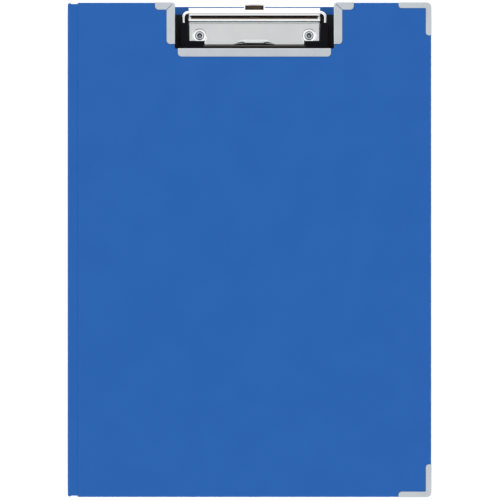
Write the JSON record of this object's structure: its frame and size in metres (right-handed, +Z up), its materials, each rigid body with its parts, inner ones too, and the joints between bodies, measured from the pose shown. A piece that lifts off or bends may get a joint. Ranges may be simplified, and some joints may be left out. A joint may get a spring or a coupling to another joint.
{
  "type": "covered clip file",
  "caption": "A4 clipboard with a hinged cloth-covered front cover, a spine, a lever clip with a wire clamp showing in the cover's notch, and metal edge guards.",
  "frame": {"origin": "middle of the file's underside, lying closed on its back board", "axes": "+X from the spine to the opening edge, +Y to the clip end, +Z up out of the front cover"},
  "size_m": [0.234, 0.318, 0.0155],
  "materials": {
    "cloth": "blue vinyl book cloth, fine grain, soft sheen",
    "lining": "black embossed lining sheet",
    "greyboard": "raw pressed grey board",
    "guard_steel": "satin plated steel",
    "nickel": "bright satin nickel plate",
    "chrome": "polished chrome plate",
    "black_plastic": "soft black plastic, half gloss",
    "spring_steel": "oil-browned steel"
  },
  "bodies": {
    "back": {"back_board": "greyboard", "back_cloth": "cloth", "back_lining": "lining", "back_hinge_strip": "cloth", "back_guard_top": "guard_steel", "back_guard_bottom": "guard_steel", "clip_base_plate": "nickel", "clip_rivet_left": "nickel", "clip_rivet_right": "nickel", "hinge_pin": "spring_steel", "clip_spring": "spring_steel"},
    "spine": {"spine_board": "greyboard", "spine_cloth": "cloth", "spine_lining": "lining"},
    "cover": {"cover_board": "greyboard", "cover_cloth": "cloth", "cover_lining": "lining", "cover_hinge_strip": "cloth", "cover_guard_top": "guard_steel", "cover_guard_bottom": "guard_steel", "notch_guard_left": "guard_steel", "notch_guard_right": "guard_steel", "notch_edge_strip": "guard_steel"},
    "lever": {"lever_plate": "chrome", "clamp_wire": "chrome", "corner_sleeve_left": "black_plastic", "corner_sleeve_right": "black_plastic"}
  },
  "joints": [
    {"name": "spine_fold", "type": "hinge", "parent": "back", "child": "spine", "pos_m": [-0.1166, 0, 0.0004], "axis": [0, -1, 0], "range_deg": [0, 179]},
    {"name": "cover_fold", "type": "hinge", "parent": "spine", "child": "cover", "pos_m": [-0.1166, 0, 0.0148], "axis": [0, -1, 0], "range_deg": [0, 179]},
    {"name": "lever_press", "type": "hinge", "parent": "back", "child": "lever", "pos_m": [0.00313, 0.1499, 0.0064], "axis": [-1, 0, 0], "range_deg": [0, 28], "stiffness_Nm_per_rad": 0.4, "springref_deg": -34.38, "deforming": ["clip_spring"]}
  ]
}
